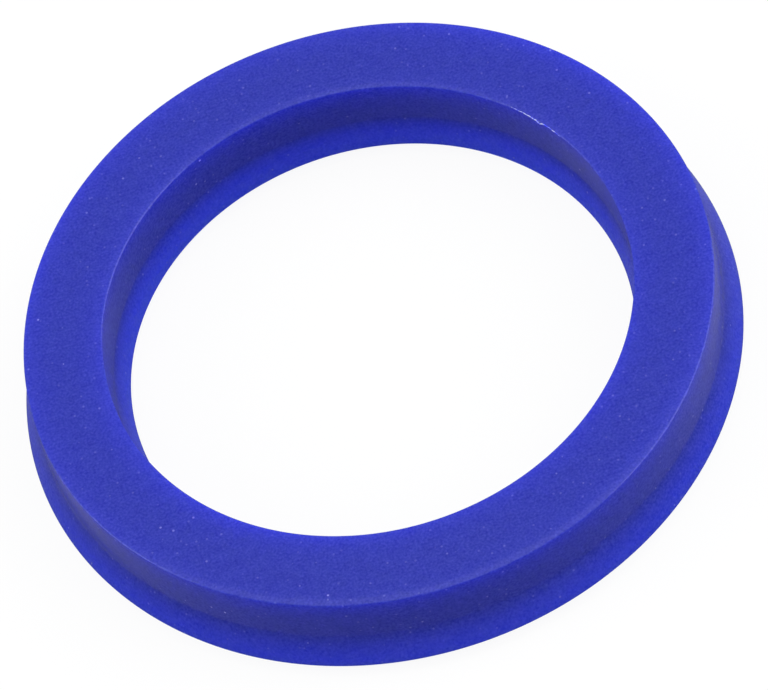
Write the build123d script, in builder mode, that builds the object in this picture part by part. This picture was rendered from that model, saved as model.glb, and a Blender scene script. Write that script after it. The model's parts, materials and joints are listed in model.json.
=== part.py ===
"""U-cup seal in millimetres, lying on its lip tips with the flat heel up and its axis on Z.

One moulded ring. The heel is a plain ring with straight walls. Below it two lips part around
a U groove and lean past the heel to their sealing edges: the inner one rubs on a rod, the
outer one on the housing bore.
"""

import os
from math import asin, atan2, hypot, sin

from build123d import *

# Room that the seal fills, between a rod and the housing bore around it
rod_diameter = 31.5
section_width = 5.0  # from the rod out to the housing bore
seal_height = 6.0

# Heel
rod_gap = 0.13  # between the rod and the heel's inner wall
bore_gap = 0.10  # between the heel's outer wall and the housing bore
heel_wall_height = 3.25  # from the flat face down to where the lips part
heel_edge_width = 0.42  # band beside each corner where the flat face starts to fall away
heel_edge_fall = 0.035
heel_edge_radius = 2.0
heel_corner_radius = 0.10

# Lips
outer_lip_flare = 0.99  # from the heel's outer wall out to the outer sealing edge
inner_lip_flare = 0.66  # from the heel's inner wall in to the inner sealing edge
lip_root_radius = 0.5
sealing_edge_height = 0.95  # above the tips
sealing_edge_radius = 0.06
tip_setback = 0.27  # from each heel wall to the near corner of the tip below it
tip_width = 0.25
tip_corner_radius = 0.06

# Groove
groove_depth = 3.2
groove_bottom_radius = 0.75

# Radii that follow
heel_inner_radius = rod_diameter / 2 + rod_gap
heel_outer_radius = rod_diameter / 2 + section_width - bore_gap
heel_corner_height = seal_height - heel_edge_fall
lip_root_height = seal_height - heel_wall_height
inner_sealing_radius = heel_inner_radius - inner_lip_flare
outer_sealing_radius = heel_outer_radius + outer_lip_flare
inner_tip_radius = heel_inner_radius + tip_setback
outer_tip_radius = heel_outer_radius - tip_setback
groove_radius = (heel_inner_radius + heel_outer_radius) / 2
inner_mouth_radius = inner_tip_radius + tip_width
outer_mouth_radius = outer_tip_radius - tip_width

# Each flank of the groove runs from the mouth, tangent to the round bottom. Without that round
# the flanks would meet at the crest.
half_mouth = (outer_mouth_radius - inner_mouth_radius) / 2
bottom_centre_height = groove_depth - groove_bottom_radius
flank_lean = atan2(half_mouth, bottom_centre_height) - asin(
    groove_bottom_radius / hypot(half_mouth, bottom_centre_height)
)
crest_height = bottom_centre_height + groove_bottom_radius / sin(flank_lean)

# Half section, as corners (radius, height) with the fillet at each
section_corners = [
    ((heel_inner_radius, heel_corner_height), heel_corner_radius),
    ((heel_inner_radius + heel_edge_width, seal_height), heel_edge_radius),
    ((heel_outer_radius - heel_edge_width, seal_height), heel_edge_radius),
    ((heel_outer_radius, heel_corner_height), heel_corner_radius),
    ((heel_outer_radius, lip_root_height), lip_root_radius),
    ((outer_sealing_radius, sealing_edge_height), sealing_edge_radius),
    ((outer_tip_radius, 0), tip_corner_radius),
    ((outer_mouth_radius, 0), tip_corner_radius),
    ((groove_radius, crest_height), groove_bottom_radius),
    ((inner_mouth_radius, 0), tip_corner_radius),
    ((inner_tip_radius, 0), tip_corner_radius),
    ((inner_sealing_radius, sealing_edge_height), sealing_edge_radius),
    ((heel_inner_radius, lip_root_height), lip_root_radius),
]

# The ring: its half section turned about the axis
with BuildPart() as u_cup_seal:
    with BuildSketch(Plane.XZ):
        with BuildLine():
            FilletPolyline(
                [corner for corner, fillet_radius in section_corners],
                radius=[fillet_radius for corner, fillet_radius in section_corners],
                close=True,
            )
        make_face()
    revolve(axis=Axis.Z)

u_cup_seal.part.label = "u_cup_seal"

os.makedirs("parts", exist_ok=True)
export_step(u_cup_seal.part, "parts/u_cup_seal.step")
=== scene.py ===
"""U-cup seal: the look of one moulded polyurethane ring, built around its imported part.

The ring lies on its lip tips with the flat heel up and its axis on Z.
"""

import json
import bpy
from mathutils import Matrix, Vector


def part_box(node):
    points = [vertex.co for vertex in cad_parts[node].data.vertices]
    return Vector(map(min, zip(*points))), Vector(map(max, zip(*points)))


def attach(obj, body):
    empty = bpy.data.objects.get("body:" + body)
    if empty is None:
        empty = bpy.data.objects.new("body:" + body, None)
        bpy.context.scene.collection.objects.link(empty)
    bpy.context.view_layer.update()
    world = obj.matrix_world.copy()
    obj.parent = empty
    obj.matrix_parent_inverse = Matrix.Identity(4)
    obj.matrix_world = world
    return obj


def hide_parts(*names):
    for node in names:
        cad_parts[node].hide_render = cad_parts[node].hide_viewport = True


bl_info = {
    "name": "U-Cup Seal",
    "version": (1, 0, 0),
    "blender": (4, 5, 0),
    "location": "View3D > Sidebar > U-Cup Seal",
    "description": "Moulded U-cup seal ring with its finish and a plain studio",
    "category": "Object",
}

from math import asin, atan2, cos, hypot, pi, radians, sin, tan

import bmesh
import bpy
from bpy.props import FloatProperty, FloatVectorProperty, IntProperty, PointerProperty
from mathutils import Matrix, Vector

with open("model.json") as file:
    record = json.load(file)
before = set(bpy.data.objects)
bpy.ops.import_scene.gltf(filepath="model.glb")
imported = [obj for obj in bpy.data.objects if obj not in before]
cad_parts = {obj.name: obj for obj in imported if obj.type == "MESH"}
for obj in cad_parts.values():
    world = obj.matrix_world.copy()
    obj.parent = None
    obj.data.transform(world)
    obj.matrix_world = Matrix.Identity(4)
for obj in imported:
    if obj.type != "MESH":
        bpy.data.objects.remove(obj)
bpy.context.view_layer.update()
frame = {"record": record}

NODE = "u_cup_seal"
BODY = "root"
MM = 0.001
MOUNTS = {mount["name"]: mount for mount in frame["record"]["mounts"]}
HIGH_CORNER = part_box(NODE)[1]


# ---------------------------------------------------------------- sizes and colours


def length(name, description, default, precision=5):
    return FloatProperty(
        name=name,
        description=description,
        default=default,
        unit="LENGTH",
        precision=precision,
    )


def angle(name, description, degrees):
    return FloatProperty(
        name=name, description=description, default=radians(degrees), subtype="ANGLE"
    )


def colour(name, description, default):
    return FloatVectorProperty(
        name=name,
        description=description,
        default=default,
        subtype="COLOR",
        size=3,
        min=0.0,
        max=1.0,
    )


def share(name, description, default):
    return FloatProperty(
        name=name, description=description, default=default, subtype="FACTOR", min=0.0, max=1.0
    )


class SealSizes(bpy.types.PropertyGroup):
    """Section of the ring, in metres."""

    heel_inner_radius: length(
        "Heel inner radius", "Inner wall of the heel", MOUNTS["rod_bore"]["dims"]["r_mm"] * MM
    )
    heel_outer_radius: length(
        "Heel outer radius",
        "Outer wall of the heel, at its top",
        MOUNTS["heel_outside"]["dims"]["r_mm"] * MM,
    )
    height: length("Height", "From the lip tips to the flat heel", HIGH_CORNER.z)
    heel_wall_height: length("Heel wall height", "Face to where the lips part", 3.25 * MM)
    outer_wall_draft: length("Outer wall draft", "Wider at its foot than at its top", 0.08 * MM)
    heel_edge_width: length("Heel edge width", "Band where the face falls away", 0.42 * MM)
    heel_edge_fall: length("Heel edge fall", "Drop of that band at the corner", 0.035 * MM)
    heel_edge_radius: length("Heel edge radius", "Rounding where the fall starts", 2.0 * MM)
    heel_corner_radius: length("Heel corner radius", "Rounding of the heel's corners", 0.1 * MM)
    outer_lip_flare: length("Outer lip flare", "Outer lip past the heel's wall", 0.99 * MM)
    inner_lip_flare: length("Inner lip flare", "Inner lip past the heel's wall", 0.66 * MM)
    lip_root_radius: length("Lip root radius", "Hollow where a lip leaves the wall", 0.5 * MM)
    sealing_edge_height: length("Sealing edge height", "Edges above the tips", 0.95 * MM)
    sealing_edge_radius: length("Sealing edge radius", "Rounding of the edges", 0.06 * MM)
    tip_setback: length("Tip setback", "From each heel wall to the tip below it", 0.27 * MM)
    tip_width: length("Tip width", "Flat at the end of each lip", 0.25 * MM)
    tip_corner_radius: length("Tip corner radius", "Rounding of the tips", 0.06 * MM)
    groove_depth: length("Groove depth", "From the tips to the groove's bottom", 3.2 * MM)
    groove_bottom_radius: length("Groove bottom radius", "Round bottom", 0.75 * MM)
    loop_spacing: length("Loop spacing", "Between loops on the straight flanks", 0.25 * MM)
    arc_step: angle("Arc step", "Turn of each step along a rounded corner", 11)
    steps: IntProperty(name="Steps", description="Faces once around the ring", default=256, min=32)


class SealColours(bpy.types.PropertyGroup):
    """Colours and finish of the polyurethane."""

    body: colour("Body", "Thick material of the heel", (0.0125, 0.024, 0.373))
    # painted glow: the rim colour is a paler blue that stands in for light at the heel's rounded
    # edges
    rim_painted_glow: colour("Rim", "Walls and corners of the heel, a little paler", (0.018, 0.03, 0.378))
    # painted glow: the lip colours are brighter blues that stand in for light let through the thin
    # lips
    outer_lip: colour("Outer lip", "Thin outer lip, with light behind it", (0.0235, 0.043, 0.73))
    inner_lip: colour("Inner lip", "Thin inner lip, brightest at its edge", (0.033, 0.058, 1.0))
    speck: colour("Speck", "Pale specks of dust and bloom", (0.3, 0.32, 0.8))
    thread: colour("Thread", "Thin thread of flash", (0.55, 0.6, 0.85))
    grain: colour("Grain", "How far the fine grain shifts each channel", (0.058, 0.068, 0.27))
    spread: colour("Spread", "How far each channel goes, in parts of its reach", (0.05, 0.08, 1.0))
    reach: length("Reach", "How far the light goes in the material", 10.0 * MM)
    roughness: share("Roughness", "Satin of the moulded skin", 0.2)


class StudioSettings(bpy.types.PropertyGroup):
    """Camera, even light and lamps."""

    camera_distance: length("Camera distance", "From the middle of the heel face", 422.6 * MM)
    camera_elevation: angle("Camera elevation", "Above the horizon", 54.24)
    camera_roll: angle("Camera roll", "Turn about the line of sight", 18.59)
    camera_right: length("Camera right", "Slide along the view's right", 1.045 * MM)
    camera_up: length("Camera up", "Slide along the view's up", -2.285 * MM)
    camera_lens: FloatProperty(
        name="Lens", description="Focal length in millimetres", default=337.5
    )
    sky: FloatProperty(name="Sky", description="Brightness of the even light", default=0.66)
    overhead: FloatProperty(name="Overhead", description="Brightness of that lamp", default=0.56)
    left: FloatProperty(name="Left", description="Brightness of that lamp", default=2.7)
    right: FloatProperty(name="Right", description="Brightness of that lamp", default=2.0)


# ---------------------------------------------------------------- mesh helpers


def new_piece(name, mesh_builder):
    """Object at the origin whose mesh mesh_builder(bm) makes in place, with smooth faces."""
    mesh = bpy.data.meshes.new(name)
    bm = bmesh.new()
    mesh_builder(bm)
    for face in bm.faces:
        face.smooth = True
    bm.to_mesh(mesh)
    bm.free()
    piece = bpy.data.objects.new(name, mesh)
    bpy.context.scene.collection.objects.link(piece)
    return piece


def section_corners(sizes):
    """Half section as (radius, height, fillet radius), anticlockwise from the heel's outer corner."""
    heel_inner = sizes.heel_inner_radius
    heel_outer = sizes.heel_outer_radius
    inner_tip = heel_inner + sizes.tip_setback
    outer_tip = heel_outer - sizes.tip_setback
    groove_radius = (heel_inner + heel_outer) / 2
    half_mouth = outer_tip - sizes.tip_width - groove_radius
    bottom_centre = sizes.groove_depth - sizes.groove_bottom_radius
    lean = atan2(half_mouth, bottom_centre) - asin(
        sizes.groove_bottom_radius / hypot(half_mouth, bottom_centre)
    )
    crest = bottom_centre + sizes.groove_bottom_radius / sin(lean)
    root_height = sizes.height - sizes.heel_wall_height
    corner_height = sizes.height - sizes.heel_edge_fall
    edge_height = sizes.sealing_edge_height
    edge_radius = sizes.sealing_edge_radius
    tip_radius = sizes.tip_corner_radius
    return [
        (heel_outer, corner_height, sizes.heel_corner_radius),
        (heel_outer - sizes.heel_edge_width, sizes.height, sizes.heel_edge_radius),
        (heel_inner + sizes.heel_edge_width, sizes.height, sizes.heel_edge_radius),
        (heel_inner, corner_height, sizes.heel_corner_radius),
        (heel_inner, root_height, sizes.lip_root_radius),
        (heel_inner - sizes.inner_lip_flare, edge_height, edge_radius),
        (inner_tip, 0.0, tip_radius),
        (inner_tip + sizes.tip_width, 0.0, tip_radius),
        (groove_radius, crest, sizes.groove_bottom_radius),
        (outer_tip - sizes.tip_width, 0.0, tip_radius),
        (outer_tip, 0.0, tip_radius),
        (heel_outer + sizes.outer_lip_flare, edge_height, edge_radius),
        (heel_outer + sizes.outer_wall_draft, root_height, sizes.lip_root_radius),
    ]


def rounded_outline(bm, corners, turn_per_step, loop_spacing):
    """Closed outline in the XZ plane: an arc spun at each corner, joined by divided straights."""
    points = [Vector((x, 0.0, z)) for x, z, _ in corners]
    arc_ends = []
    for index, (corner, (_, _, radius)) in enumerate(zip(points, corners)):
        back = (points[index - 1] - corner).normalized()
        ahead = (points[(index + 1) % len(points)] - corner).normalized()
        half_angle = back.angle(ahead) / 2
        turn = pi - 2 * half_angle
        start = corner + back * radius / tan(half_angle)
        bmesh.ops.spin(
            bm,
            geom=[bm.verts.new(start)],
            cent=corner + (back + ahead).normalized() * radius / sin(half_angle),
            axis=ahead.cross(back),
            angle=turn,
            steps=max(2, round(turn / turn_per_step)),
        )
        arc_ends.append((start, corner + ahead * radius / tan(half_angle)))
    for (_, leave), (arrive, _) in zip(arc_ends, arc_ends[1:] + arc_ends[:1]):
        straight = bm.edges.new((vertex_at(bm, leave), vertex_at(bm, arrive)))
        cuts = int(straight.calc_length() / loop_spacing)
        if cuts:
            bmesh.ops.subdivide_edges(bm, edges=[straight], cuts=cuts)


def vertex_at(bm, place):
    return min(bm.verts, key=lambda vert: (vert.co - place).length_squared)


def spin_ring(bm, corners, turn_per_step, loop_spacing, steps):
    """The ring: its outline turned once about Z and closed on itself."""
    rounded_outline(bm, corners, turn_per_step, loop_spacing)
    bmesh.ops.spin(
        bm,
        geom=bm.verts[:] + bm.edges[:],
        cent=(0.0, 0.0, 0.0),
        axis=(0.0, 0.0, 1.0),
        angle=2 * pi,
        steps=steps,
        use_merge=True,
    )
    bmesh.ops.remove_doubles(bm, verts=bm.verts[:], dist=1e-7)
    bmesh.ops.recalc_face_normals(bm, faces=bm.faces[:])


def draw_strand(bm, stations):
    """Closed strand of flash through stations of (bearing, radius, height, thickness)."""
    places = [
        Vector((radius * cos(bearing), radius * sin(bearing), height))
        for bearing, radius, height, _ in stations
    ]
    loops = []
    for index, (place, (_, _, _, thickness)) in enumerate(zip(places, stations)):
        heading = places[min(index + 1, len(places) - 1)] - places[max(index - 1, 0)]
        turn = heading.to_track_quat("Z", "Y").to_matrix().to_4x4()
        circle = bmesh.ops.create_circle(
            bm, segments=6, radius=thickness / 2, matrix=Matrix.Translation(place) @ turn
        )
        loops.append({edge for vert in circle["verts"] for edge in vert.link_edges})
    for first, second in zip(loops, loops[1:]):
        bmesh.ops.bridge_loops(bm, edges=[*first, *second])
    bmesh.ops.holes_fill(bm, edges=[*loops[0], *loops[-1]], sides=6)
    bmesh.ops.recalc_face_normals(bm, faces=bm.faces[:])


# ---------------------------------------------------------------- shader helper


class Shade:
    """A shader socket that Python's operators build Math nodes on."""

    def __init__(self, tree, socket=None):
        self.tree = tree
        self.socket = socket

    def node(self, kind, settings=None, output=0, **inputs):
        """Add a node, set it up, feed its sockets and return one of its outputs."""
        made = self.tree.nodes.new(kind)
        for name, value in (settings or {}).items():
            setattr(made, name, value)
        for name, value in inputs.items():
            socket = self._input(made, name)
            if isinstance(value, Shade):
                self.tree.links.new(value.socket, socket)
            else:
                socket.default_value = value
        return Shade(self.tree, made.outputs[output] if made.outputs else None)

    def output(self, name):
        """Another output of this socket's own node."""
        return Shade(self.tree, self.socket.node.outputs[name])

    @staticmethod
    def _input(made, name):
        if name.startswith("in_"):
            return made.inputs[int(name[3:])]
        return made.inputs[name.replace("_", " ").title()]

    def _math(self, operation, first, second):
        return self.node("ShaderNodeMath", {"operation": operation}, in_0=first, in_1=second)

    def __add__(self, other):
        return self._math("ADD", self, other)

    __radd__ = __add__

    def __sub__(self, other):
        return self._math("SUBTRACT", self, other)

    def __rsub__(self, other):
        return self._math("SUBTRACT", other, self)

    def __mul__(self, other):
        return self._math("MULTIPLY", self, other)

    __rmul__ = __mul__

    def __pow__(self, other):
        return self._math("POWER", self, other)


def new_material(name):
    """An empty node material: its tree as a Shade and its Principled shader."""
    material = bpy.data.materials.new(name)
    material.use_nodes = True
    tree = material.node_tree
    tree.nodes.clear()
    output = tree.nodes.new("ShaderNodeOutputMaterial")
    shader = tree.nodes.new("ShaderNodeBsdfPrincipled")
    tree.links.new(shader.outputs["BSDF"], output.inputs["Surface"])
    return material, Shade(tree), shader


def feed(shader, **sockets):
    """Link each Shade value to the shader's socket of that name."""
    for name, value in sockets.items():
        value.tree.links.new(value.socket, shader.inputs[name.replace("_", " ").title()])


def step(value, start, end, shape="LINEAR"):
    """0 to 1 as the value goes from start to end, held beyond them."""
    return value.node(
        "ShaderNodeMapRange",
        {"interpolation_type": shape},
        value=value,
        from_min=start,
        from_max=end,
    )


def paint(factor, under, over):
    """Mix of two colours, the second one where the factor is 1."""
    under, over = (
        tint if isinstance(tint, Shade) else (*tint, 1.0) for tint in (under, over)
    )
    return factor.node(
        "ShaderNodeMix", {"data_type": "RGBA"}, output=2, in_0=factor, in_6=under, in_7=over
    )


# ---------------------------------------------------------------- materials


def polyurethane(colours, sizes):
    """Satin, slightly translucent blue, with a painted glow that brightens down the thin lips and a
    paler painted glow along the heel's walls and corners.
    """
    material, shade, shader = new_material("polyurethane")
    shader.inputs["IOR"].default_value = 1.5
    shader.inputs["Subsurface Weight"].default_value = 1.0
    shader.inputs["Subsurface Radius"].default_value = colours.spread
    shader.inputs["Subsurface Scale"].default_value = colours.reach
    place = shade.node("ShaderNodeTexCoord", output="Object")
    height = shade.node("ShaderNodeSeparateXYZ", output="Z", vector=place)
    across = height.output("X")
    along = height.output("Y")
    radius = (across * across + along * along) ** 0.5
    root_height = sizes.height - sizes.heel_wall_height
    middle = (sizes.heel_inner_radius + sizes.heel_outer_radius) / 2
    inward = step(radius, middle + 0.1 * MM, middle - 0.1 * MM)
    # painted glow, brightening down each thin lip in place of light let through it
    outer_glow = step(height, root_height - 0.15 * MM, sizes.sealing_edge_height)
    inner_glow = step(height, root_height, sizes.sealing_edge_height + 0.3 * MM)
    # painted glow: a paler band along the heel's walls and corners
    half_width = (sizes.heel_outer_radius - sizes.heel_inner_radius) / 2
    offset = radius - middle
    rim_glow_mask = step((offset * offset) ** 0.5, half_width - 1.0 * MM, half_width - 0.1 * MM)
    heel = paint(rim_glow_mask, colours.body, colours.rim_painted_glow)
    outside = paint(outer_glow, heel, colours.outer_lip)
    inside = paint(inner_glow, heel, colours.inner_lip)
    skin = paint(inward, outside, inside)

    # fine grain over a softer mottle, never darker than the least colour of the material
    grain = shade.node("ShaderNodeTexNoise", vector=place, scale=6500.0, detail=2.0) - 0.5
    mottle = shade.node("ShaderNodeTexNoise", vector=place, scale=1500.0, detail=2.0) - 0.5
    skin = shade.node(
        "ShaderNodeVectorMath",
        {"operation": "ADD"},
        in_0=skin,
        in_1=shade.node(
            "ShaderNodeVectorMath",
            {"operation": "SCALE"},
            in_0=colours.grain,
            scale=grain + mottle * 0.3,
        ),
    )
    skin = shade.node(
        "ShaderNodeVectorMath", {"operation": "MAXIMUM"}, in_0=skin, in_1=(0.0, 0.002, 0.02)
    )

    # a speck in each cell, most of them faint and a few strong
    cell = shade.node("ShaderNodeTexVoronoi", output="Distance", vector=place, scale=1500.0)
    luck = shade.node("ShaderNodeSeparateColor", output="Red", color=cell.output("Color"))
    strength = 0.11 * (1.0 - luck) ** -0.44
    speck = shade.node(
        "ShaderNodeMath", {"operation": "MINIMUM"}, in_0=step(cell, 0.13, 0.07) * strength, in_1=1.0
    )
    skin = paint(speck, skin, colours.speck)
    feed(
        shader,
        base_color=skin,
        roughness=colours.roughness + grain * 0.15,
        normal=shade.node("ShaderNodeBump", strength=0.3, distance=0.003 * MM, height=grain),
    )
    return material


def flash_thread(colours):
    """Pale thread of flash: the lips' painted glow blue, with noise patches of painted pale
    highlight.
    """
    material, shade, shader = new_material("flash_thread")
    shader.inputs["Roughness"].default_value = colours.roughness
    place = shade.node("ShaderNodeTexCoord", output="Object")
    patches = shade.node("ShaderNodeTexNoise", vector=place, scale=5000.0, detail=1.0)
    # painted glow blue of the lips, under patches of painted pale highlight
    feed(shader, base_color=paint(step(patches, 0.35, 0.6), colours.inner_lip, colours.thread))
    return material


def plain_floor():
    """White floor that lights and mirrors in the ring like a mid-grey one."""
    material = bpy.data.materials.new("floor_white")
    material.use_nodes = True
    material.node_tree.nodes.clear()
    material.cycles.emission_sampling = "NONE"
    shade = Shade(material.node_tree)
    white = (1.0, 1.0, 1.0, 1.0)
    seen = shade.node("ShaderNodeLightPath", output="Is Camera Ray")
    through = seen.output("Is Transmission Ray")
    mirrored = seen.output("Is Glossy Ray")

    # the grey that reaches the ring, even for its light and, in its reflections, a little brighter
    # outside it, most so to the right: a painted shadow near the ring and a painted pool of light to
    # the right
    spread_grey = shade.node("ShaderNodeEmission", color=white, strength=0.3)
    place = shade.node("ShaderNodeTexCoord", output="Object")
    across = shade.node("ShaderNodeSeparateXYZ", vector=place)
    along = across.output("Y")
    away = step((across * across + along * along) ** 0.5, 12 * MM, 22 * MM)
    brightness = 0.19 + away * (0.06 + 0.07 * step(across, 0.0, 20 * MM))
    mirror_grey = shade.node("ShaderNodeEmission", color=white, strength=brightness)

    # the white that is seen: mostly its own light, so that only a faint shadow shows
    matt_white = shade.node("ShaderNodeBsdfDiffuse", color=(0.96, 0.96, 0.96, 1.0))
    even_white = shade.node("ShaderNodeEmission", color=white, strength=1.0)
    grey = shade.node("ShaderNodeMixShader", in_0=mirrored, in_1=spread_grey, in_2=mirror_grey)
    pale = shade.node("ShaderNodeMixShader", in_0=0.92, in_1=matt_white, in_2=even_white)
    shown = shade.node("ShaderNodeMixShader", in_0=seen + through, in_1=grey, in_2=pale)
    shade.node("ShaderNodeOutputMaterial", surface=shown)
    return material


# ---------------------------------------------------------------- operators


class SEAL_OT_ring(bpy.types.Operator):
    """Spin the moulded ring, in the place of its CAD node"""

    bl_idname = "seal.ring"
    bl_label = "Moulded ring"

    def execute(self, context):
        sizes = context.scene.seal_sizes
        ring = new_piece("seal_ring", lambda bm: self.mould(bm, sizes))
        ring.data.materials.append(polyurethane(context.scene.seal_colours, sizes))
        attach(ring, BODY)
        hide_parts(NODE)
        return {"FINISHED"}

    def mould(self, bm, sizes):
        spin_ring(bm, section_corners(sizes), sizes.arc_step, sizes.loop_spacing, sizes.steps)


class SEAL_OT_flash(bpy.types.Operator):
    """Draw the thread of flash that clings to the heel's inner corner"""

    bl_idname = "seal.flash"
    bl_label = "Flash thread"

    def execute(self, context):
        thread = new_piece("seal_flash_thread", self.draw_thread)
        thread.data.materials.append(flash_thread(context.scene.seal_colours))
        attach(thread, BODY)
        return {"FINISHED"}

    def draw_thread(self, bm):
        # bearing in degrees, then radius, height and thickness in millimetres
        stations = (
            (41.5, 15.94, 5.960, 0.013),
            (40.4, 15.93, 5.955, 0.027),
            (39.2, 15.91, 5.950, 0.022),
            (38.3, 15.93, 5.960, 0.043),
            (37.3, 15.90, 5.945, 0.050),
            (36.4, 15.91, 5.950, 0.057),
            (35.4, 15.88, 5.935, 0.062),
            (34.5, 15.89, 5.940, 0.075),
            (33.9, 15.84, 5.905, 0.080),
            (33.4, 15.83, 5.895, 0.062),
            (32.9, 15.88, 5.935, 0.075),
            (32.3, 15.92, 5.960, 0.070),
            (31.6, 15.90, 5.950, 0.060),
            (30.9, 15.92, 5.955, 0.050),
            (30.0, 15.89, 5.940, 0.037),
            (29.0, 15.90, 5.940, 0.030),
            (28.2, 15.88, 5.930, 0.022),
            (27.4, 15.88, 5.925, 0.013),
        )
        draw_strand(
            bm,
            [
                (radians(bearing), radius * MM, height * MM, thickness * MM)
                for bearing, radius, height, thickness in stations
            ],
        )


class SEAL_OT_stage(bpy.types.Operator):
    """Lay the floor and set the lamps and the camera"""

    bl_idname = "seal.stage"
    bl_label = "Studio"

    def execute(self, context):
        scene = context.scene
        ground = new_piece(
            "floor",
            lambda bm: bmesh.ops.create_grid(bm, x_segments=1, y_segments=1, size=3.0),
        )
        ground.data.materials.append(plain_floor())
        self.light(scene)
        self.camera(scene)
        scene.view_settings.view_transform = "Standard"
        return {"FINISHED"}

    def light(self, scene):
        studio = scene.seal_studio
        world = bpy.data.worlds.new("studio")
        world.use_nodes = True
        world.node_tree.nodes.clear()
        shade = Shade(world.node_tree)
        seen = shade.node("ShaderNodeLightPath", output="Is Camera Ray")
        sky = shade.node(
            "ShaderNodeBackground",
            color=(1.0, 1.0, 1.0, 1.0),
            strength=studio.sky + (1.0 - studio.sky) * seen,
        )
        shade.node("ShaderNodeOutputWorld", surface=sky)
        scene.world = world
        self.lamp(scene, "overhead", studio.overhead, 0.55, 0, 90)
        self.lamp(scene, "left", studio.left, 0.36, 173, 30)
        self.lamp(scene, "right", studio.right, 0.6, -5, 32)

    def lamp(self, scene, name, brightness, radius, bearing, elevation):
        """Round soft lamp a metre away and turned to the ring; its angles are in degrees."""
        bearing = radians(bearing)
        elevation = radians(elevation)
        lamp = bpy.data.lights.new(name, "AREA")
        lamp.shape = "DISK"
        lamp.size = 2 * radius
        # the power in watts of a disk with this brightness all over
        lamp.energy = brightness * pi * pi * radius * radius
        holder = bpy.data.objects.new(name, lamp)
        place = Vector(
            (cos(elevation) * cos(bearing), cos(elevation) * sin(bearing), sin(elevation))
        )
        turn = place.to_track_quat("Z", "Y").to_matrix().to_4x4()
        holder.matrix_world = Matrix.Translation(place) @ turn
        scene.collection.objects.link(holder)

    def camera(self, scene):
        studio = scene.seal_studio
        elevation = studio.camera_elevation
        roll = studio.camera_roll
        up = Vector((0.0, sin(elevation), cos(elevation)))
        back = Vector((0.0, -cos(elevation), sin(elevation)))
        right = Vector((1.0, 0.0, 0.0))
        rolled_right = cos(roll) * right - sin(roll) * up
        rolled_up = sin(roll) * right + cos(roll) * up
        place = (
            Vector((0.0, 0.0, scene.seal_sizes.height))
            + back * studio.camera_distance
            + rolled_right * studio.camera_right
            + rolled_up * studio.camera_up
        )
        camera = bpy.data.cameras.new("camera")
        camera.lens = studio.camera_lens
        camera.sensor_width = 36.0
        camera.clip_start = 0.01
        holder = bpy.data.objects.new("camera", camera)
        turn = Matrix((rolled_right, rolled_up, back)).transposed().to_4x4()
        holder.matrix_world = Matrix.Translation(place) @ turn
        scene.collection.objects.link(holder)
        scene.camera = holder


class SEAL_PT_panel(bpy.types.Panel):
    """Every step of the seal, in order"""

    bl_label = "U-Cup Seal"
    bl_idname = "SEAL_PT_panel"
    bl_space_type = "VIEW_3D"
    bl_region_type = "UI"
    bl_category = "U-Cup Seal"

    def draw(self, context):
        for operator in OPERATORS:
            self.layout.operator(operator.bl_idname)


GROUPS = {"seal_sizes": SealSizes, "seal_colours": SealColours, "seal_studio": StudioSettings}
OPERATORS = (SEAL_OT_ring, SEAL_OT_flash, SEAL_OT_stage)
CLASSES = (*GROUPS.values(), *OPERATORS, SEAL_PT_panel)


def register():
    for cls in CLASSES:
        bpy.utils.register_class(cls)
    for name, group in GROUPS.items():
        setattr(bpy.types.Scene, name, PointerProperty(type=group))


def unregister():
    for name in GROUPS:
        delattr(bpy.types.Scene, name)
    for cls in reversed(CLASSES):
        bpy.utils.unregister_class(cls)


def main():
    register()
    bpy.ops.seal.ring()
    bpy.ops.seal.flash()
    bpy.ops.seal.stage()


if __name__ == "__main__":
    main()
